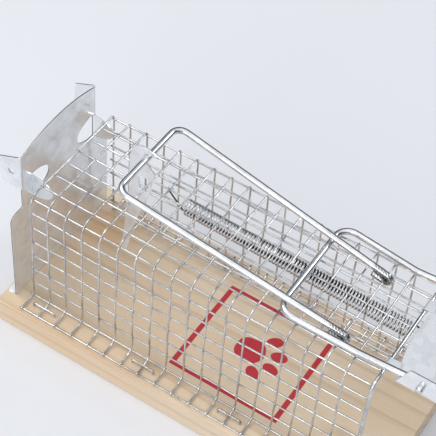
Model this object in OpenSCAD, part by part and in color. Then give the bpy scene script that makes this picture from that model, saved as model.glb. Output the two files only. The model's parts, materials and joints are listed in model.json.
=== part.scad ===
// Live catch trap: a welded wire cage on a wood board, with a sprung drop door.
// The origin is the centre of the board's underside. +X points to the doorway, +Z up.
// It is drawn set: door raised, hold-down bail latched under the trigger's beak.

/* [Board] */
// Length of the wood board
board_l = 270; // [262:1:300]
// Width of the wood board
board_w = 120; // [118:1:140]
// Thickness of the wood board
board_t = 19; // [12:1:25]

/* [Cage] */
// Width of the cage between the side walls' wire centres
cage_w = 86; // [84:1:92]
// Height of the cage from the board to the top wires' centres
cage_h = 93; // [88:1:98]
// Distance from one hoop wire to the next
pitch = 12.7; // [12.5:0.1:12.8]
// Diameter of the mesh wire
mesh_d = 1.2; // [1:0.1:1.6]
// Width of each flange that lies on the board
flange_w = 13.5; // [12:0.5:15]
// Diameter of the hoop wire round the doorway
end_hoop_d = 2.4; // [2:0.1:3]

/* [Sheet parts] */
// Thickness of the galvanised sheet
sheet_t = 0.8; // [0.6:0.1:1]
// Half width of a plate's neck, outside its ears
neck_hw = 38.2; // [37.8:0.1:39]
// Half width of a plate below its neck
skirt_hw = 50; // [44:0.5:51]
// How far an ear stands out from its plate
ear_reach = 15.6; // [14:0.2:18]

/* [Bails] */
// Diameter of the two bails' wire
bail_d = 4.2; // [3.8:0.1:4.4]
// Half width of the hold-down bail at its crossbar
hold_hw = 31.6; // [29:0.1:32]
// Half width of the door bail's arms
door_bail_hw = 35.2; // [35:0.1:35.2]
// Slope of the hold-down bail when latched, in degrees
hold_slope = 10.3; // [9.5:0.1:11.5]

// How far the door sits to the far side of the cage on its hinge wire
door_shift = 4.5; // [0:0.5:4.5]

/* [Spring] */
// Outside diameter of the pull spring
spring_od = 11; // [10:0.5:11]
// Wire diameter of the pull spring
spring_wire = 1; // [0.8:0.1:1.2]
// Number of turns
spring_turns = 74; // [60:1:80]

/* [Hidden] */
$fn = 48;

// Mesh layout: 18 hoop wires, then the thicker hoop round the doorway
hoop_count = 18;
cage_l = 232.8;
hoop0_x = -cage_l / 2 - 0.6;
end_x = hoop0_x + cage_l;
top_cells = 7;
side_cells = 7;
top_gap = cage_w / top_cells;
side_gap = cage_h / side_cells;
// Half the offset between hoop wires, outside, and the lengthwise wires, inside
weld = (mesh_d - 0.2) / 2;
side_y = cage_w / 2;
top_z = board_t + cage_h;
bend_r = 5;
flange_z = board_t + mesh_d / 2 + weld;
string_end_x = end_x - end_hoop_d / 2;

// Hinge lines. The door turns on the end hoop, the bail on a hoop wire, the trigger on another
door_hinge = [end_x, 0, top_z - weld];
hold_hinge = [hoop0_x + 16 * pitch, 0, top_z + weld];
trigger_hinge = [hoop0_x + 4 * pitch, 0, top_z + weld];
trigger_y = 2.5;
knuckle_r = end_hoop_d / 2 + 0.08;
sheet_z = door_hinge.z + knuckle_r;

// Hold-down bail: eye round its hoop wire, arms sloping up to the latched crossbar. Its feet and
// its crossbar lie a little off the cage's middle
eye_r = 3;
eye_wrap = 105;
hold_foot_y = [-23.4, 27.8];
hold_bar_y = 2.2;
hold_reach = 149.9;
hold_bar_z = hold_hinge.z + eye_r / cos(hold_slope) + hold_reach * tan(hold_slope);

// Door bail: crossbar under the hold-down arms, with the slack it needs to swing up clear of
// them, then arms back to the door's ears
bar_gap = 1.4;
door_bar_x = hoop0_x + 12.98 * pitch;
door_bar_y = door_shift + 2.5;
door_bar_z = hold_hinge.z + (hold_hinge.x - door_bar_x) * tan(hold_slope)
    - (bail_d + bar_gap - eye_r) / cos(hold_slope);

// Door leaf: its length from the hinge, its rim's crown and its ears
leaf_l = 91;
rim_back = 9.2;
crown = 6;
leaf_h = leaf_l - rim_back;
ear_h = 27.5;
ear_hole_out = 7.2;
ear_hole_up = 13;
foot_x = door_hinge.x + rim_back + ear_h - ear_hole_up;
foot_z = sheet_z + ear_hole_out;

// Spring line under the cage top, between two lengthwise wires
spring_y = top_gap;
spring_left = [hoop0_x + 75.5, spring_y, top_z - 6.9];
lug_hole = [door_hinge.x + 11.5, spring_y, door_hinge.z - 11.7];
spring_dir = (lug_hole - spring_left) / norm(lug_hole - spring_left);
spring_l = 154.5;
spring_right = spring_left + spring_l * spring_dir;
spring_r = (spring_od - spring_wire) / 2;

steel = [0.72, 0.74, 0.76];
bright = [0.82, 0.84, 0.86];

function unit(v) = v / norm(v);
function side_of(w) = unit(cross(w, abs(w.z) < 0.9 ? [0, 0, 1] : [1, 0, 0]));

// Puts the children in a frame with its x and y axes along ex and ey
module framed(origin, ex, ey) {
    ez = cross(ex, ey);
    multmatrix([
        [ex.x, ey.x, ez.x, origin.x],
        [ex.y, ey.y, ez.y, origin.y],
        [ex.z, ey.z, ez.z, origin.z]
    ])
        children();
}

// Straight round rod from a to b
module rod(a, b, d) {
    w = unit(b - a);
    u = side_of(w);
    framed(a, u, cross(w, u))
        cylinder(h = norm(b - a), d = d);
}

// Round wire through points. r holds the bend radius at each inner point.
// The straights lap a little way over the bends, whose section is a hair thinner
module bent_wire(points, r, d) {
    lap = 0.02;
    last = len(points) - 1;
    u = [for (i = [0:last]) i == 0 ? [0, 0, 0] : unit(points[i - 1] - points[i])];
    v = [for (i = [0:last]) i == last ? [0, 0, 0] : unit(points[i + 1] - points[i])];
    half = [for (i = [0:last]) i == 0 || i == last ? 90 : acos(u[i] * v[i]) / 2];
    cut = [for (i = [0:last]) i == 0 || i == last ? 0 : r[i - 1] / tan(half[i])];
    for (i = [1:last])
        rod(
            points[i - 1] + v[i - 1] * (cut[i - 1] - (i == 1 ? 0 : lap)),
            points[i] + u[i] * (cut[i] - (i == last ? 0 : lap)),
            d
        );
    for (i = [1:1:last - 1]) {
        centre = points[i] + unit(u[i] + v[i]) * r[i - 1] / sin(half[i]);
        ex = unit(points[i] + u[i] * cut[i] - centre);
        ef = unit(points[i] + v[i] * cut[i] - centre);
        ez = unit(cross(ex, ef));
        framed(centre, ex, cross(ez, ex))
            rotate_extrude(angle = 180 - 2 * half[i])
                translate([r[i - 1], 0])
                    circle(d = d - lap);
    }
}

// Mesh wire, eight sided
module mesh_rod(a, b) {
    rod(a, b, mesh_d, $fn = 8);
}

function hoop_x(i) = hoop0_x + i * pitch;

module on_side(side) {
    if (side < 0) children();
    else mirror([0, 1, 0]) children();
}

// Flange on the board, drawn for the near side
module flange() {
    inner = -side_y - weld - 0.6;
    outer = -side_y - flange_w;
    for (i = [0:hoop_count - 1])
        mesh_rod(
            [hoop_x(i), -side_y - weld + mesh_d / 2, flange_z + weld],
            [hoop_x(i), outer - 1.2, flange_z + weld]
        );
    for (y = [inner, outer])
        mesh_rod([hoop0_x - 1.5, y, flange_z - weld], [string_end_x, y, flange_z - weld]);
}

// Upright wall, drawn for the near side
module wall() {
    for (i = [0:hoop_count - 1])
        mesh_rod(
            [hoop_x(i), -side_y - weld, flange_z + weld + mesh_d / 2],
            [hoop_x(i), -side_y - weld, top_z + weld - bend_r]
        );
    for (k = [1:side_cells - 1])
        mesh_rod(
            [hoop0_x - 1.5, -side_y + weld, board_t + k * side_gap],
            [string_end_x, -side_y + weld, board_t + k * side_gap]
        );
}

// Rounded edge between wall and top, drawn for the near side
module edge_bend() {
    centre = [-side_y - weld + bend_r, top_z + weld - bend_r];
    string_r = bend_r - 2 * weld;
    for (i = [0:hoop_count - 1])
        framed([hoop_x(i), centre.x, centre.y], [0, -1, 0], [0, 0, 1])
            rotate_extrude(angle = 90, $fn = 24)
                translate([bend_r, 0])
                    circle(d = mesh_d, $fn = 8);
    mesh_rod(
        [hoop0_x - 1.5, centre.x - string_r * cos(45), centre.y + string_r * sin(45)],
        [string_end_x, centre.x - string_r * cos(45), centre.y + string_r * sin(45)]
    );
}

// Flat sheet outline in width and height: skirt, rounded shoulders, neck, crowned rim
module plate_outline(hw, neck, shoulder_v, height, crown) {
    shoulder_r = 11;
    polygon(concat(
        [[-hw, 0]],
        [for (a = [180:-15:90]) [-hw + shoulder_r, shoulder_v] + shoulder_r * [cos(a), sin(a)]],
        [[-neck, shoulder_v + shoulder_r], [-neck, height]],
        [for (t = [-0.75:0.25:0.75]) [t * neck, height + crown * (1 - t * t)]],
        [[neck, height], [neck, shoulder_v + shoulder_r]],
        [for (a = [90:-15:0]) [hw - shoulder_r, shoulder_v] + shoulder_r * [cos(a), sin(a)]],
        [[hw, 0]]
    ));
}

// Ear seen from the side, reaching along +x: round lower corner, sloping top, hole for the bail
module ear_outline(reach, height) {
    low_r = 8;
    top_r = 2;
    slope = 6.5;
    difference() {
        polygon(concat(
            [[0, 0]],
            [for (a = [-90:15:0]) [reach - low_r, low_r] + low_r * [cos(a), sin(a)]],
            [for (a = [0:22.5:67.5])
                [reach - top_r, height - slope - top_r] + top_r * [cos(a), sin(a)]],
            [[0, height]]
        ));
        translate([ear_hole_out, ear_hole_up])
            circle(d = bail_d + 0.1);
    }
}

// Half oval with its flat side on the y axis
module tab_outline(reach, height) {
    polygon([for (a = [-90:10:90]) [reach * cos(a), height / 2 * sin(a)]]);
}

module base_board() {
    color([0.86, 0.7, 0.5])
        translate([-board_l / 2, -board_w / 2, 0])
            cube([board_l, board_w, board_t]);
}

module mesh_near_flange() { color(bright) on_side(-1) flange(); }
module mesh_far_flange() { color(bright) on_side(1) flange(); }
module mesh_near_side() { color(bright) on_side(-1) wall(); }
module mesh_far_side() { color(bright) on_side(1) wall(); }
module mesh_near_bend() { color(bright) on_side(-1) edge_bend(); }
module mesh_far_bend() { color(bright) on_side(1) edge_bend(); }

module mesh_top() {
    reach = side_y + weld - bend_r;
    color(bright) {
        for (i = [0:hoop_count - 1])
            mesh_rod([hoop_x(i), -reach, top_z + weld], [hoop_x(i), reach, top_z + weld]);
        for (k = [1:top_cells - 1])
            mesh_rod(
                [hoop0_x - 1.5, -side_y + k * top_gap, top_z - weld],
                [string_end_x, -side_y + k * top_gap, top_z - weld]
            );
    }
}

// Thick hoop round the doorway. Its top is the door's hinge pin
module end_hoop() {
    y = side_y - weld;
    color(steel)
        bent_wire([
            [end_x, -y, board_t], [end_x, -y, door_hinge.z],
            [end_x, y, door_hinge.z], [end_x, y, board_t]
        ], [5, 5], end_hoop_d);
}

// Staples that span the flange wires, drawn for the near side
module staple_row() {
    crown = 16;
    wire = 1.4;
    y = -side_y - flange_w / 2 - 0.6;
    z = flange_z + weld + mesh_d / 2 + wire / 2 + 0.2;
    for (i = [0.5, 6.5, 11.5, 16.5]) {
        x = hoop_x(i) + pitch / 2;
        bent_wire([
            [x - crown / 2, y, board_t - 6], [x - crown / 2, y, z],
            [x + crown / 2, y, z], [x + crown / 2, y, board_t - 6]
        ], [1.2, 1.2], wire);
    }
}

module near_staples() { color(steel) on_side(-1) staple_row(); }
module far_staples() { color(steel) on_side(1) staple_row(); }

// Ear bent up along one side of a plate, drawn on the near side at y
module ear(y) {
    translate([0, y, 0])
        rotate([90, 0, 0])
            linear_extrude(sheet_t)
                ear_outline(ear_reach + sheet_t, ear_h);
}

rear_x = hoop0_x - 10.6;
rear_h = 117.5;
tab_mid = 3.3;
tab_spread = 62;
tab_z = board_t + 86.5;
tab_h = 18.5;
tab_l = 16.5;
tab_notch = 2;

// Fixed plate that closes the rear end. Its ears point back, and two punched tabs point in.
// Each tab has a notch for the first hoop wire
module rear_plate() {
    color(steel) {
        difference() {
            framed([rear_x, 0, board_t], [0, 1, 0], [0, 0, 1])
                linear_extrude(sheet_t)
                    plate_outline(skirt_hw, neck_hw, 64, rear_h, crown);
            for (side = [-1, 1])
                framed(
                    [rear_x + sheet_t / 2, tab_mid + side * tab_spread / 2, tab_z],
                    [0, -side, 0], [0, 0, 1]
                )
                    linear_extrude(sheet_t + 2, center = true)
                        tab_outline(tab_l, tab_h);
        }
        for (side = [-1, 1])
            translate([rear_x, tab_mid + side * (tab_spread + sheet_t) / 2 + sheet_t / 2, tab_z])
                rotate([90, 0, 0])
                    linear_extrude(sheet_t)
                        difference() {
                            tab_outline(tab_l, tab_h);
                            translate([hoop0_x - rear_x - tab_notch / 2, top_z - weld - tab_z])
                                square([tab_notch, tab_h]);
                        }
        for (y = [sheet_t - neck_hw, neck_hw])
            translate([rear_x + sheet_t, 0, board_t + rear_h - ear_h])
                mirror([1, 0, 0])
                    ear(y);
        translate([rear_x - 6, -skirt_hw, board_t])
            cube([6.4, 2 * skirt_hw, sheet_t]);
    }
}

module rear_foot_nails() {
    color(steel)
        for (y = [-40, 0, 40])
            translate([rear_x - 3.2, y, board_t - 10]) {
                cylinder(h = 10 + sheet_t, d = 1.4);
                translate([0, 0, 10 + sheet_t])
                    cylinder(h = 0.7, d = 4);
            }
}

// Point on the coil's wire ring, ring i of the helix, corner k of the wire's section
helix_steps = 6;
helix_sides = 4;
function helix_point(i, k) =
    let (turn = 360 * i / helix_steps,
         section = 360 * k / helix_sides,
         radial = spring_r + spring_wire / 2 * cos(section),
         along = spring_wire / 2 + (spring_l - spring_wire) * i / (helix_steps * spring_turns))
    [radial * cos(turn), radial * sin(turn), along + spring_wire / 2 * sin(section)];

// Stretched pull spring. Its ends close against flat caps
module spring_coil() {
    rings = helix_steps * spring_turns;
    points = [for (i = [0:rings], k = [0:helix_sides - 1]) helix_point(i, k)];
    sides = [
        for (i = [0:rings - 1], k = [0:helix_sides - 1])
        let (a = i * helix_sides + k, b = i * helix_sides + (k + 1) % helix_sides)
        each [[a, a + helix_sides, b], [b, a + helix_sides, b + helix_sides]]
    ];
    first = [for (k = [0:helix_sides - 1]) k];
    final = [for (k = [helix_sides - 1:-1:0]) rings * helix_sides + k];
    color(bright)
        framed(spring_left, [0, 1, 0], cross(spring_dir, [0, 1, 0]))
            polyhedron(points, concat(sides, [first, final]));
}

// Hook that hangs the spring's rear end on a hoop wire
module spring_anchor_hook() {
    x = hoop_x(5);
    z = top_z + weld;
    r = mesh_d / 2 + spring_wire / 2 + 0.12;
    color(bright)
        bent_wire([
            [spring_left.x - 0.6, spring_y, spring_left.z + spring_r],
            [x - r, spring_y, z - r], [x - r, spring_y, z + r], [x + 2.2, spring_y, z + r]
        ], [0.9, 0.9], spring_wire);
}

// Hook at the spring's door end, through the lug's hole
module spring_door_hook() {
    start = spring_right + 0.6 * spring_dir;
    color(bright)
        bent_wire([
            start + [0, spring_r, 0], lug_hole + [0, 2.4, 0],
            lug_hole + [0, -2.4, 0], lug_hole + [-4, -2.4, 0]
        ], [1.1, 1.1], spring_wire);
}

// Door leaf, raised level: same outline as the rear plate, its rim curled round the hinge hoop
module door_sheet() {
    knuckle_y = 24.5;
    knuckle_w = 8;
    color(steel) {
        framed([door_hinge.x + leaf_l, door_shift, sheet_z], [0, 1, 0], [-1, 0, 0])
            linear_extrude(sheet_t)
                plate_outline(skirt_hw, neck_hw, 42, leaf_h, crown);
        for (y = [sheet_t - neck_hw, neck_hw])
            translate([door_hinge.x + rim_back + ear_h, door_shift, sheet_z])
                rotate([0, -90, 0])
                    ear(y);
        for (side = [-1, 1])
            translate([door_hinge.x, side * knuckle_y + knuckle_w / 2, door_hinge.z])
                rotate([90, 0, 0]) {
                    rotate_extrude(angle = 230, start = 90)
                        translate([knuckle_r, 0])
                            square([sheet_t, knuckle_w]);
                    translate([0, knuckle_r, 0])
                        cube([8, sheet_t, knuckle_w]);
                }
    }
}

// Lug under the leaf that takes the spring's pull
module door_spring_lug() {
    drop = door_hinge.z - lug_hole.z + 3;
    color(steel)
        difference() {
            translate([lug_hole.x - 3, spring_y - sheet_t / 2, sheet_z - drop - knuckle_r])
                cube([6, sheet_t, drop + knuckle_r]);
            translate([lug_hole.x, spring_y + 2, lug_hole.z])
                rotate([90, 0, 0])
                    cylinder(h = 4, d = 2.4);
        }
}

// Thick wire bail, fast in the door's ears
module door_bail() {
    flare = 2.7;
    knee_x = hoop0_x + 17.05 * pitch;
    knee_z = top_z + 4.7;
    tail = neck_hw + 3;
    half = function(side) [
        [foot_x, door_shift + side * tail, foot_z],
        [foot_x, door_shift + side * door_bail_hw, foot_z],
        [knee_x, door_shift + side * door_bail_hw, knee_z],
        [door_bar_x, door_bar_y + side * (door_bail_hw + flare), door_bar_z]
    ];
    far = half(1);
    color(bright)
        bent_wire(
            concat(half(-1), [for (i = [3:-1:0]) far[i]]), [2.4, 30, 9, 9, 30, 2.4], bail_d
        );
}

// Thick wire bail with an eye at each foot, round a hoop wire of the cage top
module hold_down_bail() {
    strand = 8;
    low = [eye_r, -eye_r * tan(eye_wrap / 2)];
    high = [eye_r, eye_r * tan((90 - hold_slope) / 2)];
    tip = low - (strand + eye_r * tan(eye_wrap / 2)) * [sin(eye_wrap), cos(eye_wrap)];
    bar_x = hold_hinge.x - hold_reach;
    at = function(p, y) hold_hinge + [p.x, y, p.y];
    near = hold_foot_y[0];
    far = hold_foot_y[1];
    color(bright)
        bent_wire([
            at(tip, near), at(low, near), at(high, near),
            [bar_x, hold_bar_y - hold_hw, hold_bar_z], [bar_x, hold_bar_y + hold_hw, hold_bar_z],
            at(high, far), at(low, far), at(tip, far)
        ], [eye_r, eye_r, 7, 7, eye_r, eye_r], bail_d);
}

// Trigger: beak over the latched crossbar, slot round a hoop wire, bait arm inside the cage
module trigger_plate() {
    bar = [hold_hinge.x - hold_reach, hold_bar_z] - [trigger_hinge.x, trigger_hinge.z];
    beak_z = bar.y + bail_d / 2 + 0.2;
    throat_x = bar.x - bail_d / 2 - 0.8;
    color(steel)
        translate([trigger_hinge.x, trigger_y + sheet_t / 2, trigger_hinge.z])
            rotate([90, 0, 0])
                linear_extrude(sheet_t)
                    difference() {
                        polygon([
                            [bar.x + 7, beak_z], [bar.x + 5.8, beak_z + 1.6], [5, beak_z + 3.6],
                            [0, beak_z + 4.6], [-5, beak_z + 3.4], [-9, beak_z - 1],
                            [-10.4, beak_z - 8], [-10.6, 6], [-10.4, -6], [-12.5, -30],
                            [-15, -63], [-14.2, -67], [-11.4, -64], [-5.5, -33], [0.5, -14],
                            [3, -6], [5.6, 6], [7.4, 16], [6.6, 19], [3.4, 23],
                            [throat_x, bar.y - 4], [throat_x, beak_z]
                        ]);
                        translate([0, 2.65]) circle(r = 3.4);
                        translate([0, 8]) circle(r = 3.4);
                        translate([-3.4, 2.65]) square([6.8, 5.35]);
                    }
}

base_board();
mesh_near_flange();
mesh_near_side();
mesh_near_bend();
mesh_top();
mesh_far_bend();
mesh_far_side();
mesh_far_flange();
end_hoop();
near_staples();
far_staples();
rear_plate();
rear_foot_nails();
spring_coil();
spring_anchor_hook();
spring_door_hook();
door_sheet();
door_spring_lug();
door_bail();
hold_down_bail();
trigger_plate();
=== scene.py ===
"""Live catch trap: wire cage on a pine board, galvanised plates, two bails, a pull spring and a trigger."""

import json
import math

import bmesh
import bpy
from mathutils import Matrix, Vector, noise


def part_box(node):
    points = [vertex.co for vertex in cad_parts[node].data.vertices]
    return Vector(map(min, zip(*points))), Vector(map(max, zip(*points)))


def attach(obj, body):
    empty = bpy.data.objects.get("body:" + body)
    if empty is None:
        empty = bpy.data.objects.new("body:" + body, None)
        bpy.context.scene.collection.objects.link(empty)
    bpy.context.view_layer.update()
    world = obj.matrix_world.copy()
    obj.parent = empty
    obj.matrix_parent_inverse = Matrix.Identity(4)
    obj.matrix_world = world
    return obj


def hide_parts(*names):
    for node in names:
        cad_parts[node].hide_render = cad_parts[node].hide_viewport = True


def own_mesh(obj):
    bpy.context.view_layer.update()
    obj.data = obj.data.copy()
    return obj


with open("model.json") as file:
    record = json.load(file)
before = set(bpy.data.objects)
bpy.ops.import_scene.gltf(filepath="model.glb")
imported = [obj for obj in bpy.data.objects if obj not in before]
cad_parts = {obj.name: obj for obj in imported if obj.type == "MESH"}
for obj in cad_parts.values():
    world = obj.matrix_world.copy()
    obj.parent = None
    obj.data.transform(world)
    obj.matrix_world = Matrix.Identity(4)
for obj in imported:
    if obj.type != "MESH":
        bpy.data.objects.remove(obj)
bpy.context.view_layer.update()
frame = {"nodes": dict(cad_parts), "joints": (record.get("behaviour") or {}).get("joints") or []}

MM = 0.001

# ---------------------------------------------------------------- sizes in metres

# Read from the frame

pivots = {j["name"]: Vector(j["pos_m"]) for j in frame["joints"]}
DOOR = pivots["door_hinge"]
HOLD = pivots["hold_down_hinge"]
TRIG = pivots["trigger_pivot"]

board_lo, board_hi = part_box("base_board")
_, top_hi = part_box("mesh_top")
side_lo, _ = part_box("mesh_near_side")
flange_lo, flange_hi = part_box("mesh_near_flange")
leaf_lo, leaf_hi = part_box("door_sheet")
hold_lo, hold_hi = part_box("hold_down_bail")
bail_lo, bail_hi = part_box("door_bail")
coil_lo, coil_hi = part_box("spring_coil")
trig_lo, trig_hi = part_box("trigger_plate")

# Cage. Hoop wires are counted from 0 at the rear end.
BOARD_TOP = board_hi.z
WIRE_R = 0.6 * MM
WELD = 0.5 * MM
HOOPS = 18
TRIG_HOOP = 4
SPRING_HOOP = 5
HOLD_HOOP = 16
KNEE_HOOP = 17.05
PITCH = (HOLD.x - TRIG.x) / (HOLD_HOOP - TRIG_HOOP)
HOOP0_X = TRIG.x - TRIG_HOOP * PITCH
HOOP_Y = -side_lo.y - WIRE_R
HOOP_Z = top_hi.z - WIRE_R
FLANGE_Y = -flange_lo.y
FLANGE_Z = flange_hi.z - WIRE_R
END_R = 1.2 * MM
END_BEND = 5 * MM
FOOT_BEND = 7 * MM
TOP_BEND = 9 * MM
FAR_BEND = 2.6 * MM
FAR_FOOT = 4 * MM
STRING_GAPS = 7
STRING_OVERHANG = 1.5 * MM
FLANGE_OVERHANG = 1.2 * MM
FINE_STEP = 3.2 * MM
KINK = 0.55 * MM
KINK_LENGTH = 34 * MM

# Sheet parts
SHEET_T = 0.8 * MM
EASED = 0.12 * MM
FOLD_R = 0.9 * MM
FOLD_STEPS = 8
KNUCKLE_R = END_R + 0.08 * MM
SHEET_Z = DOOR.z + KNUCKLE_R
PLATE_X = HOOP0_X - 10.6 * MM
NECK = 38.2 * MM
SKIRT = 50 * MM
CROWN = 6 * MM
SHOULDER_R = 11 * MM
EAR_H = 27.5 * MM
EAR_REACH = 15.6 * MM
EAR_HOLE = (7.2 * MM, 13 * MM)
DOOR_SHIFT = (leaf_lo.y + leaf_hi.y) / 2

# Bails
BAIL_R = 2.1 * MM
HOLD_SLOPE = math.radians(10.3)
EYE_R = 3 * MM
EYE_WRAP = math.radians(105)
EYE_STRAND = 8 * MM
HOLD_CORNER = 7 * MM
HOLD_FEET_Y = (-23.4 * MM, 27.8 * MM)
HOLD_BAR_Y = (-29.4 * MM, 33.8 * MM)
BAR = Vector((hold_lo.x + BAIL_R, 0, hold_hi.z - BAIL_R))
BAR_GAP = 1.4 * MM
DOOR_ARM_Y = 35.2 * MM
DOOR_BAR_Y = DOOR_SHIFT + 2.5 * MM
DOOR_FLARE = 2.7 * MM
TAIL = 3 * MM
KNEE_RISE = 4.7 * MM


def mm(*values):
    """A vector given in millimetres."""
    return Vector(values) * MM


# ---------------------------------------------------------------- materials

def new_material(name):
    """An empty node material: its node tree, its shader and its object coordinates."""
    material = bpy.data.materials.new(name)
    material.use_nodes = True
    tree = material.node_tree
    shader = tree.nodes["Principled BSDF"]
    coords = tree.nodes.new("ShaderNodeTexCoord").outputs["Object"]
    return material, tree, shader, coords


def mapped(tree, vector, scale, turn=(0, 0, 0), shift=(0, 0, 0)):
    node = tree.nodes.new("ShaderNodeMapping")
    tree.links.new(vector, node.inputs["Vector"])
    node.inputs["Scale"].default_value = scale
    node.inputs["Rotation"].default_value = turn
    node.inputs["Location"].default_value = shift
    return node.outputs["Vector"]


def noise_of(tree, vector, scale, detail=3.0, rough=0.5):
    node = tree.nodes.new("ShaderNodeTexNoise")
    tree.links.new(vector, node.inputs["Vector"])
    node.inputs["Scale"].default_value = scale
    node.inputs["Detail"].default_value = detail
    node.inputs["Roughness"].default_value = rough
    node.inputs["Distortion"].default_value = 0.0
    return node.outputs["Fac"]


def cells(tree, vector, scale):
    node = tree.nodes.new("ShaderNodeTexVoronoi")
    tree.links.new(vector, node.inputs["Vector"])
    node.inputs["Scale"].default_value = scale
    return node.outputs["Color"]


def vector_math(tree, operation, *values):
    """One vector math node. Each value is a socket or a fixed vector."""
    node = tree.nodes.new("ShaderNodeVectorMath")
    node.operation = operation
    for socket, value in zip(node.inputs, values):
        if isinstance(value, bpy.types.NodeSocket):
            tree.links.new(value, socket)
        else:
            socket.default_value = tuple(value)
    return node.outputs["Value" if operation in ("LENGTH", "DOT_PRODUCT") else "Vector"]


def ramp(tree, value, *stops):
    """A colour ramp over value: each stop is (place, colour or grey)."""
    node = tree.nodes.new("ShaderNodeValToRGB")
    tree.links.new(value, node.inputs["Fac"])
    band = node.color_ramp
    while len(band.elements) < len(stops):
        band.elements.new(0.5)
    for element, (place, colour) in zip(band.elements, stops):
        element.position = place
        grey = isinstance(colour, (int, float))
        element.color = (colour, colour, colour, 1) if grey else (*colour, 1)
    return node.outputs["Color"]


def blend_colour(tree, mode, factor, a, b):
    """Mixes colours a and b. factor is a number or a socket, and so are a and b."""
    node = tree.nodes.new("ShaderNodeMix")
    node.data_type = "RGBA"
    node.blend_type = mode
    for name, value in (("Factor", factor), ("A", a), ("B", b)):
        socket = next(s for s in node.inputs if s.name == name and
                      s.type == ("VALUE" if name == "Factor" else "RGBA"))
        if isinstance(value, bpy.types.NodeSocket):
            tree.links.new(value, socket)
        elif name == "Factor":
            socket.default_value = value
        else:
            socket.default_value = (*value, 1)
    return next(s for s in node.outputs if s.type == "RGBA")


def bump(tree, shader, height, strength, distance):
    node = tree.nodes.new("ShaderNodeBump")
    node.inputs["Strength"].default_value = strength
    node.inputs["Distance"].default_value = distance
    tree.links.new(height, node.inputs["Height"])
    tree.links.new(node.outputs["Normal"], shader.inputs["Normal"])


def wire_material(name, light, dark, rough_lo, rough_hi, grime=0.55):
    """Galvanised wire: small zinc runs, dull patches and darker grime in the dips."""
    material, tree, shader, coords = new_material(name)
    shader.inputs["Metallic"].default_value = 1.0
    runs = noise_of(tree, coords, 420, 4, 0.6)
    patches = noise_of(tree, coords, 70, 3, 0.55)
    base = ramp(tree, patches, (0.35, dark), (0.62, light))
    specks = ramp(tree, noise_of(tree, coords, 1300, 2, 0.5), (0.3, grime), (0.42, 1.0))
    colour = blend_colour(tree, "MULTIPLY", 1.0, base, specks)
    tree.links.new(colour, shader.inputs["Base Color"])
    tree.links.new(ramp(tree, runs, (0.3, rough_lo), (0.7, rough_hi)), shader.inputs["Roughness"])
    bump(tree, shader, runs, 0.35, 0.12 * MM)
    return material


def distance_from(tree, vector, centre, weights):
    """Distance of a point from centre, with each axis weighted; 0 leaves an axis out."""
    offset = vector_math(tree, "SUBTRACT", vector, centre)
    return vector_math(tree, "LENGTH", vector_math(tree, "MULTIPLY", offset, weights))


def tint_base(material, tint):
    """Multiplies a material's base colour by one more pattern."""
    tree = material.node_tree
    base = tree.nodes["Principled BSDF"].inputs["Base Color"]
    bare = base.links[0].from_socket
    tree.links.new(blend_colour(tree, "MULTIPLY", 1.0, bare, tint), base)


def shade_coil_inside(material, start, along, reach):
    """Blackens a coil's wire on the side towards its axis: painted shade for the dark gaps between the
    turns. reach is the outer radius.
    """
    tree = material.node_tree
    coords = tree.nodes.new("ShaderNodeTexCoord").outputs["Object"]
    offset = vector_math(tree, "SUBTRACT", coords, start)
    from_axis = vector_math(tree, "LENGTH", vector_math(tree, "CROSS_PRODUCT", offset, along))
    share = tree.nodes.new("ShaderNodeMath")
    share.operation = "DIVIDE"
    share.inputs[1].default_value = reach
    tree.links.new(from_axis, share.inputs[0])
    # Painted shade: near black on each turn's inner side, full colour on its outer side.
    tint_base(material, ramp(tree, share.outputs[0], (0.93, 0.012), (0.962, 1.0)))


def nick_and_shade_eyes(material, pivot):
    """Fine crossed pliers' nicks on the wire near a hinge line, and painted shade on the inside of its
    eyes, where they wrap the hinge wire.
    """
    tree = material.node_tree
    coords = tree.nodes.new("ShaderNodeTexCoord").outputs["Object"]
    reach = distance_from(tree, coords, pivot, (1.0, 0.0, 1.0))
    bare = ramp(tree, reach, (7.5 * MM, 0.0), (9.5 * MM, 1.0))
    # Painted shade: the wire darkens where it faces the hinge pin inside the eye.
    inside = ramp(tree, reach, (2.8 * MM, 0.12), (4.0 * MM, 1.0))
    nicks = None
    for turn in (0.7, -0.7):
        bands = tree.nodes.new("ShaderNodeTexWave")
        bands.inputs["Scale"].default_value = 210
        bands.inputs["Distortion"].default_value = 0.6
        tree.links.new(mapped(tree, coords, (1, 1, 1), (turn, turn, 0)), bands.inputs["Vector"])
        lines = ramp(tree, bands.outputs["Fac"], (0.2, 0.5), (0.45, 1.0))
        nicks = lines if nicks is None else blend_colour(tree, "MULTIPLY", 1.0, nicks, lines)
    tint_base(material, blend_colour(tree, "LIGHTEN", 1.0, nicks, bare))
    tint_base(material, inside)


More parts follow.
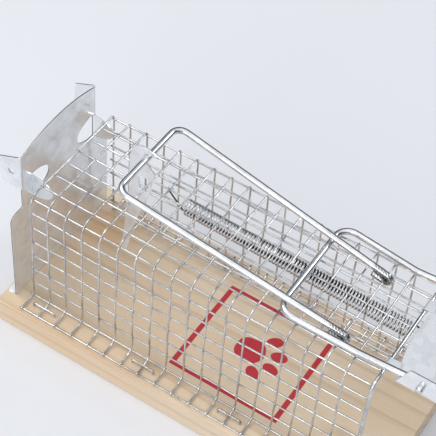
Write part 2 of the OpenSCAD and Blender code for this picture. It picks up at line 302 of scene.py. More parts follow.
def sheet_material():
    """Galvanised sheet: zinc spangle, faint rolling streaks, fine dark specks and scuffs."""
    material, tree, shader, coords = new_material("galvanised_sheet")
    shader.inputs["Metallic"].default_value = 0.65
    wobble = tree.nodes.new("ShaderNodeTexNoise")
    wobble.inputs["Scale"].default_value = 160
    tree.links.new(coords, wobble.inputs["Vector"])
    warped = vector_math(tree, "MULTIPLY_ADD", wobble.outputs["Color"], mm(3, 3, 3), coords)
    spangle = cells(tree, warped, 190)
    grey = tree.nodes.new("ShaderNodeRGBToBW")
    tree.links.new(spangle, grey.inputs[0])
    zinc = ramp(tree, grey.outputs[0], (0.2, (0.82, 0.84, 0.865)), (0.8, (0.92, 0.935, 0.955)))
    specks = ramp(tree, noise_of(tree, coords, 900, 2, 0.5), (0.27, 0.55), (0.34, 1.0))
    clouds = ramp(tree, noise_of(tree, coords, 28, 4, 0.6), (0.35, 0.95), (0.65, 1.0))
    colour = blend_colour(tree, "MULTIPLY", 0.8, zinc, specks)
    colour = blend_colour(tree, "MULTIPLY", 1.0, colour, clouds)
    tree.links.new(colour, shader.inputs["Base Color"])
    scuffs = noise_of(tree, mapped(tree, coords, (1, 1, 14)), 120, 4, 0.65)
    rough = blend_colour(tree, "ADD", 1.0,
                         ramp(tree, grey.outputs[0], (0.2, 0.06), (0.8, 0.14)),
                         ramp(tree, scuffs, (0.4, 0.0), (0.75, 0.08)))
    tree.links.new(rough, shader.inputs["Roughness"])
    swells = ramp(tree, noise_of(tree, coords, 45, 2, 0.5), (0.3, 0.0), (0.7, 1.0))
    waves = blend_colour(tree, "ADD", 1.0, swells, scuffs)
    bump(tree, shader, waves, 0.06, 0.4 * MM)
    return material


def pine_material():
    """Sawn pine: growth rings, streaks along the grain, pores and one brown patch by the rear end."""
    material, tree, shader, coords = new_material("sawn_pine")
    ring = tree.nodes.new("ShaderNodeTexWave")
    ring.wave_type = "RINGS"
    ring.rings_direction = "X"
    ring.wave_profile = "SAW"
    tree.links.new(mapped(tree, coords, (0.22, 1, 1), (0, 0.05, 0.04), (0, 0.021, 0.034)),
                   ring.inputs["Vector"])
    ring.inputs["Scale"].default_value = 42
    ring.inputs["Distortion"].default_value = 2.2
    ring.inputs["Detail"].default_value = 2.0
    ring.inputs["Detail Scale"].default_value = 0.9
    early = (0.74, 0.62, 0.475)
    late = (0.64, 0.505, 0.365)
    rings = ramp(tree, ring.outputs["Fac"], (0.0, early), (0.62, early), (0.93, late), (1.0, early))
    fibre = noise_of(tree, mapped(tree, coords, (3, 60, 60)), 14, 6, 0.6)
    streaks = ramp(tree, fibre, (0.3, (0.90, 0.87, 0.83)), (0.7, (1.0, 1.0, 1.0)))
    colour = blend_colour(tree, "MULTIPLY", 0.75, rings, streaks)
    tone = noise_of(tree, mapped(tree, coords, (2, 10, 10)), 3.2, 3, 0.5)
    tones = ramp(tree, tone, (0.3, (0.97, 0.88, 0.78)), (0.7, (1.0, 1.0, 1.0)))
    colour = blend_colour(tree, "MULTIPLY", 0.9, colour, tones)
    pores = ramp(tree, noise_of(tree, mapped(tree, coords, (10, 160, 160)), 12, 2, 0.5),
                 (0.22, (0.55, 0.42, 0.30)), (0.3, (1.0, 1.0, 1.0)))
    colour = blend_colour(tree, "MULTIPLY", 0.6, colour, pores)
    patch = (-112 * MM, 29 * MM, BOARD_TOP)
    reach = distance_from(tree, coords, patch, (0.8, 1.0, 1.0))
    stain = ramp(tree, reach, (5 * MM, (0.98, 0.84, 0.70)), (21 * MM, (1.0, 1.0, 1.0)))
    colour = blend_colour(tree, "MULTIPLY", 1.0, colour, stain)
    tree.links.new(colour, shader.inputs["Base Color"])
    tree.links.new(ramp(tree, fibre, (0.3, 0.62), (0.7, 0.5)), shader.inputs["Roughness"])
    bump(tree, shader, fibre, 0.25, 0.15 * MM)
    return material


def ink_material():
    """Red stamped ink, thin where the wood's fibres stand up."""
    material, tree, shader, coords = new_material("red_ink")
    fibre = noise_of(tree, mapped(tree, coords, (3, 60, 60)), 14, 6, 0.6)
    colour = ramp(tree, fibre, (0.28, (0.42, 0.045, 0.05)), (0.5, (0.50, 0.022, 0.035)),
                  (0.8, (0.36, 0.012, 0.022)))
    tree.links.new(colour, shader.inputs["Base Color"])
    tree.links.new(ramp(tree, fibre, (0.3, 0.6), (0.7, 0.42)), shader.inputs["Roughness"])
    bump(tree, shader, fibre, 0.2, 0.1 * MM)
    return material


def floor_material():
    """Pale matt floor, very slightly uneven in tone."""
    material, tree, shader, coords = new_material("studio_floor")
    tint = ramp(tree, noise_of(tree, coords, 3, 2, 0.5),
                (0.3, (0.70, 0.715, 0.75)), (0.7, (0.71, 0.725, 0.76)))
    tree.links.new(tint, shader.inputs["Base Color"])
    shader.inputs["Roughness"].default_value = 0.7
    return material


MESH_WIRE = wire_material("mesh_wire", (0.76, 0.765, 0.77), (0.44, 0.445, 0.45), 0.12, 0.24)
BAIL_WIRE = wire_material("bail_wire", (0.80, 0.81, 0.82), (0.64, 0.65, 0.67), 0.12, 0.24, 0.7)
HOLD_WIRE = wire_material("hold_wire", (0.80, 0.81, 0.82), (0.64, 0.65, 0.67), 0.12, 0.24, 0.7)
# Pliers' nicks and painted shade inside the hold-down's eyes.
nick_and_shade_eyes(HOLD_WIRE, HOLD)
SPRING_WIRE = wire_material("spring_wire", (0.92, 0.92, 0.93), (0.70, 0.70, 0.71), 0.12, 0.2, 0.8)
STAPLE_WIRE = wire_material("staple_wire", (0.80, 0.80, 0.82), (0.36, 0.35, 0.36), 0.2, 0.34)
# Cut edges of sheet: bare steel, painted near black as a shaded outline along the edges.
SHADED_CUT_EDGE = wire_material("cut_edge_painted_shade", (0.20, 0.20, 0.21), (0.10, 0.10, 0.105), 0.3, 0.5)
SHEET = sheet_material()
PINE = pine_material()
INK = ink_material()

# ---------------------------------------------------------------- shapes


def add_object(name, mesh, material, smooth=True):
    obj = bpy.data.objects.new(name, mesh)
    bpy.context.scene.collection.objects.link(obj)
    mesh.materials.clear()
    mesh.materials.append(material)
    mesh.polygons.foreach_set("use_smooth", [smooth] * len(mesh.polygons))
    return obj


def arc_path(points, radii, step):
    """Points at most step apart along straights and round corners, with one radius per inner point."""
    path = [points[0].copy()]
    for i in range(1, len(points) - 1):
        into = (points[i - 1] - points[i]).normalized()
        out = (points[i + 1] - points[i]).normalized()
        half = into.angle(out) / 2
        radius = radii[i - 1]
        if radius < 1e-7 or half > math.pi / 2 - 1e-4:
            path.append(points[i].copy())
            continue
        cut = radius / math.tan(half)
        centre = points[i] + (into + out).normalized() * radius / math.sin(half)
        start = points[i] + into * cut - centre
        sweep = math.pi - 2 * half
        axis = start.cross(points[i] + out * cut - centre).normalized()
        count = max(3, round(sweep / math.radians(9)))
        path += [centre + Matrix.Rotation(sweep * k / count, 3, axis) @ start
                 for k in range(count + 1)]
    path.append(points[-1].copy())
    fine = [path[0]]
    for a, b in zip(path, path[1:]):
        parts = max(1, math.ceil((b - a).length / step))
        fine += [a.lerp(b, k / parts) for k in range(1, parts + 1)]
    return fine


class Shell:
    """Vertices and faces gathered from several solids, made into one mesh at the end."""

    def __init__(self):
        self.verts = []
        self.faces = []
        self.cut_faces = set()

    def tube(self, path, radius, sides=10, dome=0.6):
        """A round wire along path, its ends domed by a share of its radius."""
        count = len(path)
        tangents = [(path[min(i + 1, count - 1)] - path[max(i - 1, 0)]).normalized()
                    for i in range(count)]
        side = tangents[0].orthogonal().normalized()
        rings = []
        for centre, along in zip(path, tangents):
            side = (side - along * side.dot(along)).normalized()
            rings.append((centre, along, side.copy(), radius))
        caps = [(0.35, 0.75), (0.75, 0.45)]
        start, start_along, start_side, _ = rings[0]
        end, end_along, end_side, _ = rings[-1]
        head = [(start - start_along * radius * dome * out, start_along, start_side, radius * narrow)
                for out, narrow in reversed(caps)]
        tail = [(end + end_along * radius * dome * out, end_along, end_side, radius * narrow)
                for out, narrow in caps]
        rings = head + rings + tail
        base = len(self.verts)
        for centre, along, side, r in rings:
            other = along.cross(side)
            for k in range(sides):
                a = 2 * math.pi * k / sides
                self.verts.append(centre + (side * math.cos(a) + other * math.sin(a)) * r)
        for i in range(len(rings) - 1):
            for k in range(sides):
                a = base + i * sides + k
                b = base + i * sides + (k + 1) % sides
                self.faces.append((a, b, b + sides, a + sides))
        self.faces.append([base + k for k in range(sides - 1, -1, -1)])
        last = base + (len(rings) - 1) * sides
        self.faces.append([last + k for k in range(sides)])

    def blob(self, centre, size, sides=8, rows=5):
        """A small rounded lump with half sizes size."""
        base = len(self.verts)
        self.verts.append(centre + Vector((0, 0, -size.z)))
        for j in range(1, rows):
            a = math.pi * j / rows
            for k in range(sides):
                b = 2 * math.pi * k / sides
                self.verts.append(centre + Vector((size.x * math.sin(a) * math.cos(b),
                                                   size.y * math.sin(a) * math.sin(b),
                                                   -size.z * math.cos(a))))
        self.verts.append(centre + Vector((0, 0, size.z)))
        top = len(self.verts) - 1
        for k in range(sides):
            n = (k + 1) % sides
            self.faces.append((base, base + 1 + n, base + 1 + k))
            for j in range(rows - 2):
                a = base + 1 + j * sides
                self.faces.append((a + k, a + n, a + sides + n, a + sides + k))
            a = base + 1 + (rows - 2) * sides
            self.faces.append((a + k, a + n, top))

    def add(self, mesh, matrix, cut=False):
        """Adds a mesh. With cut, its faces across the sheet are listed as cut edges, which get a near-black
        colour: bare steel, darkened further as painted shade.
        """
        base = len(self.verts)
        if cut:
            start = len(self.faces)
            self.cut_faces.update(start + p.index for p in mesh.polygons if abs(p.normal.z) < 0.3)
        self.verts += [matrix @ v.co for v in mesh.vertices]
        self.faces += [[base + i for i in p.vertices] for p in mesh.polygons]

    def mesh(self, name):
        mesh = bpy.data.meshes.new(name)
        mesh.from_pydata([tuple(v) for v in self.verts], [], [list(f) for f in self.faces])
        mesh.update()
        return mesh


def cut_sheet(loops, thickness, edge=EASED):
    """A flat blank cut from sheet, its first loop the outline and the others holes, lying on z = 0."""
    curve = bpy.data.curves.new("blank", "CURVE")
    curve.dimensions = "2D"
    curve.fill_mode = "BOTH"
    curve.extrude = thickness / 2 - edge
    curve.bevel_depth = edge
    curve.bevel_resolution = 1
    curve.offset = -edge
    for loop in loops:
        spline = curve.splines.new("POLY")
        spline.points.add(len(loop) - 1)
        for point, (x, y) in zip(spline.points, loop):
            point.co = (x, y, 0, 1)
        spline.use_cyclic_u = True
    obj = bpy.data.objects.new("blank", curve)
    bpy.context.scene.collection.objects.link(obj)
    graph = bpy.context.evaluated_depsgraph_get()
    mesh = bpy.data.meshes.new_from_object(obj.evaluated_get(graph))
    bpy.data.objects.remove(obj)
    bpy.data.curves.remove(curve)
    shape = bmesh.new()
    shape.from_mesh(mesh)
    bmesh.ops.remove_doubles(shape, verts=shape.verts, dist=1e-6)
    bmesh.ops.translate(shape, verts=shape.verts, vec=(0, 0, thickness / 2))
    bmesh.ops.recalc_face_normals(shape, faces=shape.faces)
    shape.to_mesh(mesh)
    shape.free()
    return mesh


def axes(origin, ex, ey):
    """The matrix of a frame with its x and y axes along ex and ey."""
    x = Vector(ex)
    y = Vector(ey)
    z = x.cross(y)
    return Matrix(((x.x, y.x, z.x, origin[0]), (x.y, y.y, z.y, origin[1]),
                   (x.z, y.z, z.z, origin[2]), (0, 0, 0, 1)))


def arc(cx, cy, r, start, end, count):
    """Points on an arc in a plane, angles in degrees."""
    turns = [math.radians(start + (end - start) * k / count) for k in range(count + 1)]
    return [(cx + r * math.cos(a), cy + r * math.sin(a)) for a in turns]


def soften(obj, angle=40):
    """Smooth shading that keeps the sharp folds."""
    obj.data.shade_smooth()
    mod = obj.modifiers.new("normals", "WEIGHTED_NORMAL")
    mod.keep_sharp = True
    shape = bmesh.new()
    shape.from_mesh(obj.data)
    for edge in shape.edges:
        if len(edge.link_faces) == 2 and edge.calc_face_angle(0) > math.radians(angle):
            edge.smooth = False
    shape.to_mesh(obj.data)
    shape.free()


# ---------------------------------------------------------------- wire cage


def settle(point):
    """Where a point of the mesh really lies: a hand-bent sheet waves a little, but not at its hinges."""
    fixed = (HOLD.x, TRIG.x, HOOP0_X + SPRING_HOOP * PITCH, HOOP0_X, DOOR.x)
    away = min(abs(point.x - x) for x in fixed) / PITCH
    below_top = point.z < HOOP_Z - 8 * MM
    free = 1.0 if below_top else min(1.0, max(0.0, away - 0.35))
    near_board = min(1.0, max(0.0, (point.z - BOARD_TOP) / (9 * MM)))
    # No seed is set for this noise, so the waver differs from run to run.
    sway = noise.noise_vector(point / KINK_LENGTH) * KINK
    return point + Vector((sway.x * free, sway.y * free * near_board, sway.z * free * near_board * 0.6))


def hoop_path(x):
    """One crosswise wire: along the near flange, up the wall, over the top and down the far side."""
    points = [Vector((x, -FLANGE_Y, FLANGE_Z)), Vector((x, -HOOP_Y, FLANGE_Z)),
              Vector((x, -HOOP_Y, HOOP_Z)), Vector((x, HOOP_Y, HOOP_Z)),
              Vector((x, HOOP_Y, FLANGE_Z)), Vector((x, FLANGE_Y, FLANGE_Z))]
    return arc_path(points, [FOOT_BEND, TOP_BEND, FAR_BEND, FAR_FOOT], FINE_STEP)


def string_places():
    """Where the lengthwise wires run, as (y, z), inside the hoops."""
    inner_y = HOOP_Y - 2 * WELD
    places = []
    for k in range(1, STRING_GAPS):
        places.append((-inner_y + 2 * inner_y * k / STRING_GAPS, HOOP_Z - 2 * WELD))
    rise = (HOOP_Z - WELD - BOARD_TOP) / STRING_GAPS
    slant = math.cos(math.pi / 4)
    inset = WELD * 1.4
    for side, top_bend, foot_bend in ((-1, TOP_BEND, FOOT_BEND), (1, FAR_BEND, FAR_FOOT)):
        corner = top_bend - 2 * WELD
        high = (HOOP_Y - top_bend + corner * slant, HOOP_Z - top_bend + corner * slant)
        low = (HOOP_Y + foot_bend * (1 - slant) - inset, FLANGE_Z + foot_bend * (1 - slant) - inset)
        for k in range(1, STRING_GAPS):
            if k * rise > foot_bend:
                places.append((side * inner_y, BOARD_TOP + k * rise))
        places.append((side * high[0], high[1]))
        places.append((side * low[0], low[1]))
        places.append((side * (FLANGE_Y - FLANGE_OVERHANG), FLANGE_Z - 2 * WELD))
    return places


def wire_cage():
    """The welded mesh as one bent sheet: 18 hoops, the lengthwise wires inside them and their welds."""
    shell = Shell()
    for i in range(HOOPS):
        path = [settle(p) for p in hoop_path(HOOP0_X + i * PITCH)]
        shell.tube(path, WIRE_R)
    start = HOOP0_X - STRING_OVERHANG
    end = DOOR.x - END_R
    lump = mm(0.85, 0.85, 0.7)
    for y, z in string_places():
        line = [Vector((start, y, z)), Vector((end, y, z))]
        path = [settle(p) for p in arc_path(line, [], FINE_STEP)]
        shell.tube(path, WIRE_R)
        for i in range(HOOPS):
            shell.blob(settle(Vector((HOOP0_X + i * PITCH, y, z))) + weld_shift(y, z), lump)
    mesh = add_object("wire_mesh_cage", shell.mesh("wire_mesh_cage"), MESH_WIRE)
    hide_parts("mesh_near_flange", "mesh_near_side", "mesh_near_bend", "mesh_top",
                "mesh_far_bend", "mesh_far_side", "mesh_far_flange")
    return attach(mesh, "base")


def weld_shift(y, z):
    """From a lengthwise wire towards the hoop it is welded to."""
    if z > HOOP_Z - 3 * WELD or z < BOARD_TOP + 3 * MM:
        return Vector((0, 0, WELD))
    return Vector((0, math.copysign(WELD, y), 0))


def doorway_hoop():
    """The thicker hoop whose top wire is the door's hinge pin."""
    y = HOOP_Y - 2 * WELD
    points = [Vector((DOOR.x, -y, BOARD_TOP)), Vector((DOOR.x, -y, DOOR.z)),
              Vector((DOOR.x, y, DOOR.z)), Vector((DOOR.x, y, BOARD_TOP))]
    shell = Shell()
    shell.tube(arc_path(points, [END_BEND, END_BEND], 3 * MM), END_R, 16, 0.0)
    hoop = add_object("doorway_hoop", shell.mesh("doorway_hoop"), MESH_WIRE)
    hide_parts("end_hoop")
    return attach(hoop, "base")


# ---------------------------------------------------------------- bails and spring


def bail(name, body, node, points, radii, finish=BAIL_WIRE):
    """A thick wire bail through points, fitted on a body in place of a CAD node."""
    shell = Shell()
    shell.tube(arc_path(points, radii, 2.0 * MM), BAIL_R, 20, 0.25)
    wire = add_object(name, shell.mesh(name), finish)
    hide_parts(node)
    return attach(wire, body)


def hold_down():
    """Eye round its hoop wire at each foot, arms rising to the latched crossbar."""
    low = (EYE_R, -EYE_R * math.tan(EYE_WRAP / 2))
    high = (EYE_R, EYE_R * math.tan((math.pi / 2 - HOLD_SLOPE) / 2))
    strand = EYE_STRAND + EYE_R * math.tan(EYE_WRAP / 2)
    tip = (low[0] - strand * math.sin(EYE_WRAP), low[1] - strand * math.cos(EYE_WRAP))
    sides = []
    for foot, bar in zip(HOLD_FEET_Y, HOLD_BAR_Y):
        eye = [HOLD + Vector((x, foot, z)) for x, z in (tip, low, high)]
        sides.append(eye + [Vector((BAR.x, bar, BAR.z))])
    points = sides[0] + sides[1][::-1]
    return bail("hold_down_wire", "hold_down", "hold_down_bail", points,
                [EYE_R, EYE_R, HOLD_CORNER, HOLD_CORNER, EYE_R, EYE_R], HOLD_WIRE)


def door_bail():
    """Crossbar under the hold-down arms, arms back to the door's ears, tails through their holes."""
    bar_x = bail_lo.x + BAIL_R
    bar_z = (HOLD.z + (HOLD.x - bar_x) * math.tan(HOLD_SLOPE)
             - (2 * BAIL_R + BAR_GAP - EYE_R) / math.cos(HOLD_SLOPE))
    foot_x = bail_hi.x - BAIL_R
    foot_z = SHEET_Z + EAR_HOLE[0]
    knee_x = HOOP0_X + KNEE_HOOP * PITCH
    knee_z = HOOP_Z - WELD + KNEE_RISE
    sides = []
    for side in (-1, 1):
        arm_y = DOOR_SHIFT + side * DOOR_ARM_Y
        sides.append([Vector((foot_x, DOOR_SHIFT + side * (NECK + TAIL), foot_z)),
                      Vector((foot_x, arm_y, foot_z)), Vector((knee_x, arm_y, knee_z)),
                      Vector((bar_x, DOOR_BAR_Y + side * (DOOR_ARM_Y + DOOR_FLARE), bar_z))])
    points = sides[0] + sides[1][::-1]
    bends = [2.4 * MM, 30 * MM, 9 * MM]
    return bail("door_bail_wire", "door", "door_bail", points, bends + bends[::-1])


def pull_spring():
    """Close-wound pull spring, drawn out, with a hook at each end."""
    turns = 74.25
    wire = 0.5 * MM
    radius = 5 * MM
    length = 154.5 * MM
    per_turn = 20
    left = Vector((HOOP0_X + 75.5 * MM, (coil_lo.y + coil_hi.y) / 2, HOOP_Z - WELD - 6.9 * MM))
    lug = Vector((DOOR.x + 11.5 * MM, left.y, DOOR.z - 11.7 * MM))
    along = (lug - left).normalized()
    right = left + along * length
    side = Vector((0, 1, 0))
    over = along.cross(side) * -1
    count = round(turns * per_turn)
    coil = []
    for i in range(count + 1):
        a = 2 * math.pi * i / per_turn
        out = over * math.cos(a) + side * math.sin(a)
        coil.append(left.lerp(right, i / count) + out * radius)
    hook_step = 0.8 * MM
    hook_y = 2.4
    hoop = Vector((HOOP0_X + SPRING_HOOP * PITCH, left.y, HOOP_Z))
    grip = WIRE_R + wire + 0.12 * MM
    anchor = arc_path([coil[0], coil[0] + mm(-2.5, 0, 0), hoop + Vector((-grip, 0, -grip)),
                       hoop + Vector((-grip, 0, grip)), hoop + Vector((2.4 * MM, 0, grip))],
                      [1 * MM, 0.9 * MM, 0.9 * MM], hook_step)
    far = arc_path([coil[-1], lug + mm(-1, hook_y, 0), lug + mm(0, hook_y, 0), lug + mm(0, -hook_y, 0),
                    lug + mm(-5, -hook_y, 0)], [0, 0.6 * MM, 1.1 * MM], hook_step)
    shell = Shell()
    shell.tube(list(reversed(anchor))[:-1] + coil + far[1:], wire, 8)
    spring = add_object("pull_spring", shell.mesh("pull_spring"), SPRING_WIRE)
    # Painted shade on the inner side of the coil's turns.
    shade_coil_inside(SPRING_WIRE, left, along, radius + wire)
    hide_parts("spring_coil", "spring_anchor_hook", "spring_door_hook")
    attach(spring, "base")
    # Shortening along X from the hoop puts the hook back in the lug's hole when the door is shut.
    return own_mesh(spring)


# ---------------------------------------------------------------- sheet parts


def round_loop(points, radius=0):
    """A closed outline with its corners rounded. A point may give its own radius as a third number."""
    loop = []
    count = len(points)
    for i, point in enumerate(points):
        here = Vector(point[:2])
        r = point[2] if len(point) > 2 else radius
        into = Vector(points[i - 1][:2]) - here
        out = Vector(points[(i + 1) % count][:2]) - here
        half = into.angle(out) / 2
        if r <= 0 or half > math.radians(86):
            loop.append(tuple(here))
            continue
        cut = min(r / math.tan(half), 0.45 * into.length, 0.45 * out.length)
        r = cut * math.tan(half)
        into.normalize()
        out.normalize()
        centre = here + (into + out).normalized() * (r / math.sin(half))
        a = here + into * cut - centre
        b = here + out * cut - centre
        sweep = a.angle_signed(b)
        steps = max(2, round(abs(sweep) / math.radians(12)))
        for k in range(steps + 1):
            turn = Matrix.Rotation(-sweep * k / steps, 2)
            loop.append(tuple(centre + turn @ a))
    return loop


def ear_loop(reach):
    """Ear outline, out from its fold: round lower corner, sloping top."""
    slope = 6.5 * MM
    return round_loop([(0, 0), (reach, 0, 8 * MM), (reach, EAR_H - slope, 2 * MM), (0, EAR_H)])


def plate_loop(shoulder, height):
    """Sheet outline in width and height: skirt, round shoulders, neck cut back for its ears, crown."""
    cut = NECK - FOLD_R - SHEET_T
    foot = height - EAR_H
    top = shoulder + SHOULDER_R
    right = [(SKIRT, 0, 1.5 * MM), (SKIRT, top, SHOULDER_R), (NECK, top, 2 * MM),
             (NECK, foot, 0.4 * MM), (cut, foot, 0.3 * MM)]
    parts = 8
    rim = [(t / parts * cut, height + CROWN * (1 - (t / parts) ** 2), 0)
           for t in range(parts, -parts - 1, -1)]
    left = [(-p[0], *p[1:]) for p in reversed(right)]
    return round_loop(right + rim + left)


class Plate:
    """A folded plate. face is the foot's middle on its outer face, out where its ears point, up its rim."""

    def __init__(self, face, out, up):
        self.face = Vector(face)
        self.out = Vector(out)
        self.up = Vector(up)
        self.wide = self.up.cross(self.out)
        self.shell = Shell()

    def put(self, loops, thickness, place, ex, ey):
        """Adds a blank whose outline lies along ex and ey from place, given as width, height and depth."""
        origin = self.face + self.wide * place[0] + self.up * place[1] + self.out * place[2]
        self.shell.add(cut_sheet(loops, thickness), axes(origin, ex, ey), thickness == SHEET_T)

    def leaf(self, loops):
        self.put(loops, SHEET_T, (0, 0, 0), self.wide, self.up)

    def ears(self, height):
        """Both ears with their round folds, ending level with the rim's ends at height."""
        depth = FOLD_R + SHEET_T
        for side in (-1, 1):
            u = side * (NECK - depth)
            end = 0 if side > 0 else -180
            fold = arc(0, 0, depth, -90, end, FOLD_STEPS) + arc(0, 0, FOLD_R, end, -90, FOLD_STEPS)
            self.put([fold], EAR_H, (u, height, depth), self.wide, self.out)
            reach = EAR_REACH + SHEET_T - depth
            hole = arc(EAR_HOLE[0] - depth, EAR_HOLE[1], BAIL_R + 0.08 * MM, 0, 345, 23)
            u = side * NECK if side > 0 else SHEET_T - NECK
            self.put([ear_loop(reach), hole], SHEET_T, (u, height - EAR_H, depth), self.out, self.up)


def tab_loop(reach, height):
    """Half oval with its flat side on the second axis."""
    return [(reach * math.cos(a), height / 2 * math.sin(a))
            for a in (math.pi * (k / 18 - 0.5) for k in range(19))]


def notched_tab(reach, height, middle, width, depth):
    """A half oval tab with a square notch in its upper edge."""
    loop = tab_loop(reach, height)
    low, high = middle - width / 2, middle + width / 2
    before = [p for p in loop if p[1] <= 0 or p[0] > high]
    after = [p for p in loop if p[1] > 0 and p[0] < low]

    def rim(x):
        return height / 2 * math.sqrt(1 - (x / reach) ** 2)

    return before + [(high, rim(high)), (high, depth), (low, depth), (low, rim(low))] + after


def finish_sheet(plate, name, node, body):
    """Makes a folded plate one piece in place of its CAD node. Its cut edges are near black: bare steel,
    darkened further as a painted shaded outline.
    """
    mesh = plate.shell.mesh(name)
    obj = add_object(name, mesh, SHEET)
    # Painted shade: the cut edges take the near-black edge colour.
    mesh.materials.append(SHADED_CUT_EDGE)
    for index in plate.shell.cut_faces:
        mesh.polygons[index].material_index = 1
    soften(obj)
    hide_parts(node)
    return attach(obj, body)


def rear_end():
    """The fixed rear plate: nailed foot, ears pointing back, and two tabs hooked under the mesh top."""
    height = 117.5 * MM
    shoulder = 64 * MM
    tab_h = 18.5 * MM
    tab_l = 16.5 * MM
    tab_z = 86.5 * MM
    tab_y = (-27.7 * MM, 34.3 * MM)
    notch_w = 2 * MM
    foot_l = 5.1 * MM
    along_x = (1, 0, 0)
    along_z = (0, 0, 1)
    plate = Plate((PLATE_X + SHEET_T, 0, BOARD_TOP), (-1, 0, 0), along_z)
    windows = []
    for y, inward in zip(tab_y, (1, -1)):
        windows.append([(-(y + inward * x), tab_z + z) for x, z in tab_loop(tab_l, tab_h)])
    plate.leaf([plate_loop(shoulder, height)] + windows)
    plate.ears(height)
    notch = HOOP0_X - PLATE_X
    loop = notched_tab(tab_l, tab_h, notch, notch_w, HOOP_Z - 2 * WELD - BOARD_TOP - tab_z)
    for y in (tab_y[0], tab_y[1] + SHEET_T):
        plate.shell.add(cut_sheet([loop], SHEET_T),
                        axes((PLATE_X, y, BOARD_TOP + tab_z), along_x, along_z))
    outer = FOLD_R + SHEET_T
    fold = arc(0, 0, outer, 0, -90, FOLD_STEPS) + arc(0, 0, FOLD_R, -90, 0, FOLD_STEPS)
    foot_x = PLATE_X - FOLD_R
    trim = 0.5 * MM
    plate.shell.add(cut_sheet([fold], 2 * SKIRT - 2 * trim),
                    axes((foot_x, SKIRT - trim, BOARD_TOP + outer), along_x, along_z))
    foot = round_loop([(0, -SKIRT), (0, SKIRT), (foot_l, SKIRT, 2 * MM), (foot_l, -SKIRT, 2 * MM)])
    plate.shell.add(cut_sheet([foot], SHEET_T),
                    axes((foot_x, 0, BOARD_TOP + SHEET_T), (-1, 0, 0), (0, 1, 0)))
    return finish_sheet(plate, "rear_end_plate", "rear_plate", "base")


def door_leaf():
    """The raised door: same stamping as the rear plate, two knuckles rolled round the doorway hoop."""
    height = 81.8 * MM
    shoulder = 42 * MM
    knuckle_y = 24.5 * MM
    knuckle_w = 8 * MM
    lap = 8 * MM
    plate = Plate((leaf_hi.x, DOOR_SHIFT, SHEET_Z), (0, 0, 1), (-1, 0, 0))
    plate.leaf([plate_loop(shoulder, height)])
    plate.ears(height)
    roll = KNUCKLE_R + SHEET_T
    loop = ([(lap, KNUCKLE_R), (lap, roll)] + arc(0, 0, roll, 90, 320, 22)
            + arc(0, 0, KNUCKLE_R, 320, 90, 22))
    for y in (-knuckle_y, knuckle_y):
        plate.shell.add(cut_sheet([loop], knuckle_w),
                        axes((DOOR.x, y + knuckle_w / 2, DOOR.z), (1, 0, 0), (0, 0, 1)))
    return finish_sheet(plate, "drop_door_leaf", "door_sheet", "door")


def trigger():
    """Trigger: beak over the latched crossbar, slot round a hoop wire, bait arm inside the cage."""
    # The outline is in millimetres from the pivot: x, z and corner radius.
    bx = (BAR.x - TRIG.x) / MM
    beak = (BAR.z - TRIG.z + BAIL_R) / MM + 0.2
    throat = bx - BAIL_R / MM - 0.8
    outline = [(bx + 7, beak, 0.3), (bx + 5.8, beak + 1.6, 0.6), (5, beak + 3.6, 3), (0, beak + 4.6, 4),
               (-5, beak + 3.4, 4), (-9, beak - 1, 5), (-10.4, beak - 8, 6), (-10.6, 6, 3),
               (-10.4, -6, 6), (-12.5, -30, 8), (-15, -63, 3), (-14.2, -67, 1), (-11.4, -64, 1),
               (-5.5, -33, 8), (0.5, -14, 8), (3, -6, 6), (5.6, 6, 5), (7.4, 16, 1.6), (6.6, 19, 1.6),
               (3.4, 23, 2), (throat, beak - 6.1, 1.5), (throat, beak, 0.8)]
    loop = round_loop([(x * MM, z * MM, r * MM) for x, z, r in outline])
    slot_r = 3.4 * MM
    slot = arc(0, 8 * MM, slot_r, 0, 180, 14) + arc(0, 2.65 * MM, slot_r, 180, 360, 14)
    shell = Shell()
    y = (trig_lo.y + trig_hi.y) / 2 + SHEET_T / 2
    shell.add(cut_sheet([loop, slot], SHEET_T), axes((TRIG.x, y, TRIG.z), (1, 0, 0), (0, 0, 1)))
    plate = add_object("trigger_lever", shell.mesh("trigger_lever"), SHEET)
    soften(plate)
    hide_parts("trigger_plate")
    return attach(plate, "trigger")


# ---------------------------------------------------------------- board


def pine_board():
    """The board with eased edges, slightly dented along its upper ones."""
    shape = bmesh.new()
    bmesh.ops.create_cube(shape, size=1)
    size = board_hi - board_lo
    middle = (board_hi + board_lo) / 2
    bmesh.ops.scale(shape, verts=shape.verts, vec=size)
    bmesh.ops.bevel(shape, geom=shape.edges[:], offset=0.9 * MM, segments=3, profile=0.6,
                    affect="EDGES")
    cut_step = 6 * MM
    for axis, length in ((Vector((1, 0, 0)), size.x), (Vector((0, 1, 0)), size.y)):
        count = round(length / cut_step)
        for k in range(1, count):
            at = axis * (length * (k / count - 0.5))
            bmesh.ops.bisect_plane(shape, geom=shape.verts[:] + shape.edges[:] + shape.faces[:],
                                   plane_co=at, plane_no=axis)
    for vert in shape.verts:
        vert.co += middle
        near = sum(abs(abs(c) - half) < 1.5 * MM for c, half in zip(vert.co - middle, size / 2))
        if near >= 2 and vert.co.z > board_lo.z + 2 * MM:
            dent = max(0.0, noise.noise(vert.co / (13 * MM)) - 0.1) * 0.9 * MM
            vert.co -= (vert.co - middle).normalized() * dent
    mesh = bpy.data.meshes.new("pine_board")
    shape.to_mesh(mesh)
    shape.free()
    board = add_object("pine_board", mesh, PINE)
    soften(board, 50)
    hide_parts("base_board")
    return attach(board, "base")


def oval(x, y, rx, ry, turn=0.0):
    """An ellipse as a loop, turned by an angle in degrees."""
    a = math.radians(turn)
    loop = []
    count = 40
    for k in range(count):
        t = 2 * math.pi * k / count
        px = rx * math.cos(t)
        py = ry * math.sin(t)
        loop.append((x + px * math.cos(a) - py * math.sin(a), y + px * math.sin(a) + py * math.cos(a)))
    return loop


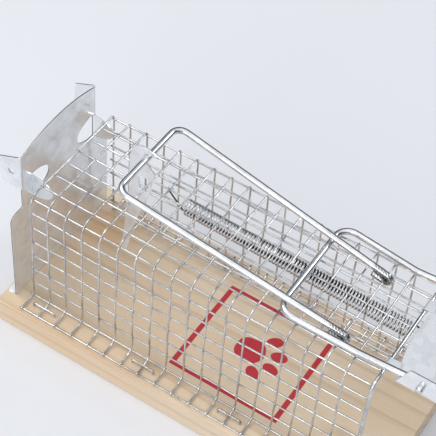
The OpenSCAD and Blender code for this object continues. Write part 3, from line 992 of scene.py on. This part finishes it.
def stamped_mark():
    """A generic paw print in a plain frame, stamped in red ink on the board."""
    ink = 0.05 * MM
    ink_edge = 0.01 * MM
    x0 = -17.5 * MM
    x1 = 61 * MM
    half = 37.3 * MM
    line = 3.5 * MM
    frame_loops = [round_loop([(x0, -half), (x1, -half), (x1, half), (x0, half)], 0.5 * MM),
                   round_loop([(x0 + line, line - half), (x1 - line, line - half),
                               (x1 - line, half - line), (x0 + line, half - line)], 0.4 * MM)]
    middle = (x0 + x1) / 2
    pad = [(middle - 12 * MM, -8 * MM, 7 * MM), (middle - 12 * MM, 8 * MM, 7 * MM),
           (middle + 4 * MM, 10 * MM, 7 * MM), (middle + 9 * MM, 0, 6 * MM),
           (middle + 4 * MM, -10 * MM, 7 * MM)]
    blanks = [frame_loops, [round_loop(pad)]]
    for x, y, turn in ((8, -14, -35), (16, -5.5, -12), (16, 5.5, 12), (8, 14, 35)):
        blanks.append([oval(middle + x * MM, y * MM, 5.6 * MM, 3.9 * MM, turn)])
    shell = Shell()
    place = axes((0, 0, BOARD_TOP - ink_edge), (1, 0, 0), (0, 1, 0))
    for loops in blanks:
        shell.add(cut_sheet(loops, ink, ink_edge), place)
    mark = add_object("stamped_mark", shell.mesh("stamped_mark"), INK, smooth=False)
    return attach(mark, "base")


# ---------------------------------------------------------------- studio


def studio_floor():
    mesh = bpy.data.meshes.new("floor")
    reach = 3.0
    mesh.from_pydata([(-reach, -reach, 0), (reach, -reach, 0), (reach, reach, 0), (-reach, reach, 0)],
                     [], [(0, 1, 2, 3)])
    add_object("floor", mesh, floor_material(), smooth=False)


def studio_sky():
    """A soft overhead glow that leans to the near side. Its dark surround draws the edges of the metal."""
    world = bpy.data.worlds.new("studio")
    bpy.context.scene.world = world
    world.use_nodes = True
    tree = world.node_tree
    sky = tree.nodes["Background"]
    direction = tree.nodes.new("ShaderNodeTexCoord").outputs["Generated"]
    toward_glow = vector_math(tree, "DOT_PRODUCT", direction, (-0.1, -0.35, 0.93))
    glow = ramp(tree, toward_glow, (0.0, (0.035, 0.04, 0.05)), (0.34, (0.09, 0.10, 0.12)),
                (0.50, (0.46, 0.49, 0.53)), (0.70, (1.0, 1.02, 1.06)), (1.0, (1.15, 1.15, 1.15)))
    tree.links.new(glow, sky.inputs["Color"])
    sky.inputs["Strength"].default_value = 1.05


def studio_lamps():
    """Three soft square lamps, all aimed at the middle of the cage."""
    aim = Vector((0, 0, 0.06))
    for name, place, size, watts, tint in (
            ("key", (-0.75, -0.1, 1.25), 0.5, 4.5, (1.0, 0.98, 0.95)),
            ("rim", (0.75, 1.0, 1.1), 0.4, 4.5, (1.0, 1.0, 1.0)),
            ("fill", (0.1, -2.4, 1.0), 1.3, 18.0, (1.0, 0.98, 0.97))):
        light = bpy.data.lights.new(name, "AREA")
        light.size = size
        light.energy = watts
        light.color = tint
        lamp = bpy.data.objects.new(name, light)
        bpy.context.scene.collection.objects.link(lamp)
        lamp.location = place
        lamp.rotation_euler = (aim - Vector(place)).to_track_quat("-Z", "Y").to_euler()


def studio_camera():
    """The photo's view of the trap, from above the near side of the doorway end."""
    azimuth = math.radians(28.57)
    elevation = math.radians(49.10)
    roll = math.radians(5.38)
    target = mm(-2.7, 0, 63.45)
    across = 4.3 * MM
    raised = 44.6 * MM
    distance = 876.3 * MM
    back = Vector((math.sin(azimuth) * math.cos(elevation), -math.cos(azimuth) * math.cos(elevation),
                   math.sin(elevation)))
    level = Vector((math.cos(azimuth), math.sin(azimuth), 0))
    rise = back.cross(level)
    right = level * math.cos(roll) + rise * math.sin(roll)
    up = rise * math.cos(roll) - level * math.sin(roll)
    camera = bpy.data.cameras.new("camera")
    camera.sensor_width = 36
    camera.lens = 118.0734
    camera.clip_start = 0.05
    view = bpy.data.objects.new("camera", camera)
    bpy.context.scene.collection.objects.link(view)
    view.matrix_world = axes(target - right * across + up * raised + back * distance, right, up)
    bpy.context.scene.camera = view
    bpy.context.scene.view_settings.view_transform = "Standard"


# ---------------------------------------------------------------- the object

# CAD nodes that stay shown get their finish here.
for node_name, finish in (("near_staples", STAPLE_WIRE), ("far_staples", STAPLE_WIRE),
                          ("rear_foot_nails", STAPLE_WIRE), ("door_spring_lug", SHEET)):
    node_mesh = frame["nodes"][node_name].data
    node_mesh.materials.clear()
    node_mesh.materials.append(finish)

pine_board()
stamped_mark()
wire_cage()
doorway_hoop()
hold_down()
door_bail()
pull_spring()
rear_end()
door_leaf()
trigger()
studio_floor()
studio_sky()
studio_lamps()
studio_camera()
